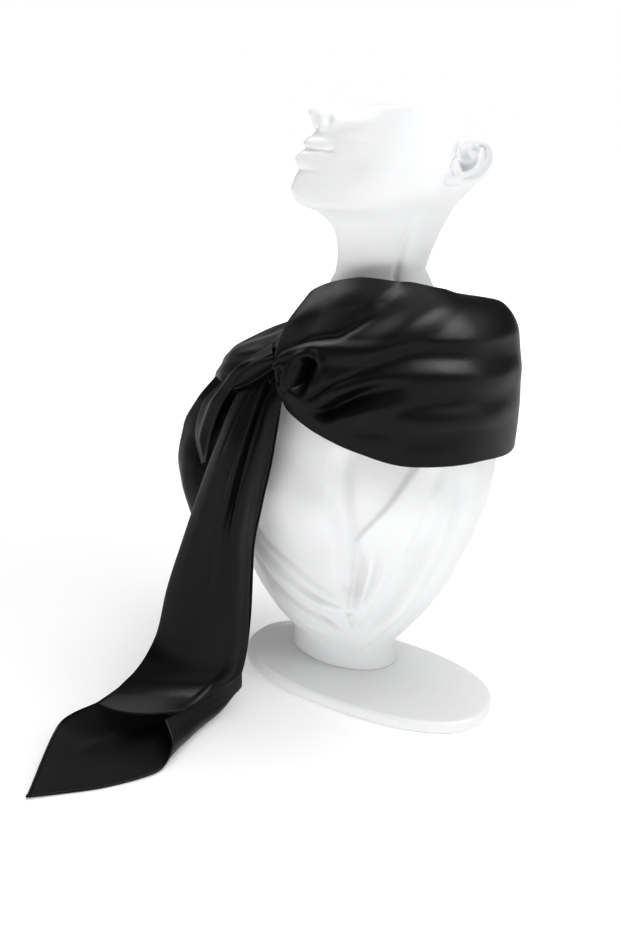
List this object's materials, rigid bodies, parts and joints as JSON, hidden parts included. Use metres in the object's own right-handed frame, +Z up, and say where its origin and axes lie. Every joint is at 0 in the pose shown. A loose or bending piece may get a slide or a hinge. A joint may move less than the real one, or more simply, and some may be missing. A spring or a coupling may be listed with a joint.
{
  "type": "satin scarf on a display bust",
  "caption": "Square satin scarf folded into a wide band round both shoulders of a display bust, caught in front, its long end reaching the floor and its short end hanging.",
  "frame": {"origin": "middle of the underside of the oval base, on the surface that the bust stands on", "axes": "+Z up, -Y out of the bust's chest, +X towards the bust's own left; the head is turned towards -X"},
  "size_m": [0.314, 0.3836, 0.5303],
  "materials": {
    "black_satin": "black satin with a soft sheen, matt on the reverse",
    "bust_paint": "smooth white paint, softly satin"
  },
  "bodies": {
    "root": {"display_base": "bust_paint", "display_bust": "bust_paint", "scarf_front_band": "black_satin", "scarf_back_band": "black_satin", "scarf_far_band": "black_satin", "scarf_short_end_back": "black_satin", "scarf_short_end_front": "black_satin", "scarf_catch_leaf": "black_satin", "scarf_long_end_front": "black_satin", "scarf_long_end_under": "black_satin", "scarf_long_end_corner": "black_satin"}
  },
  "joints": []
}
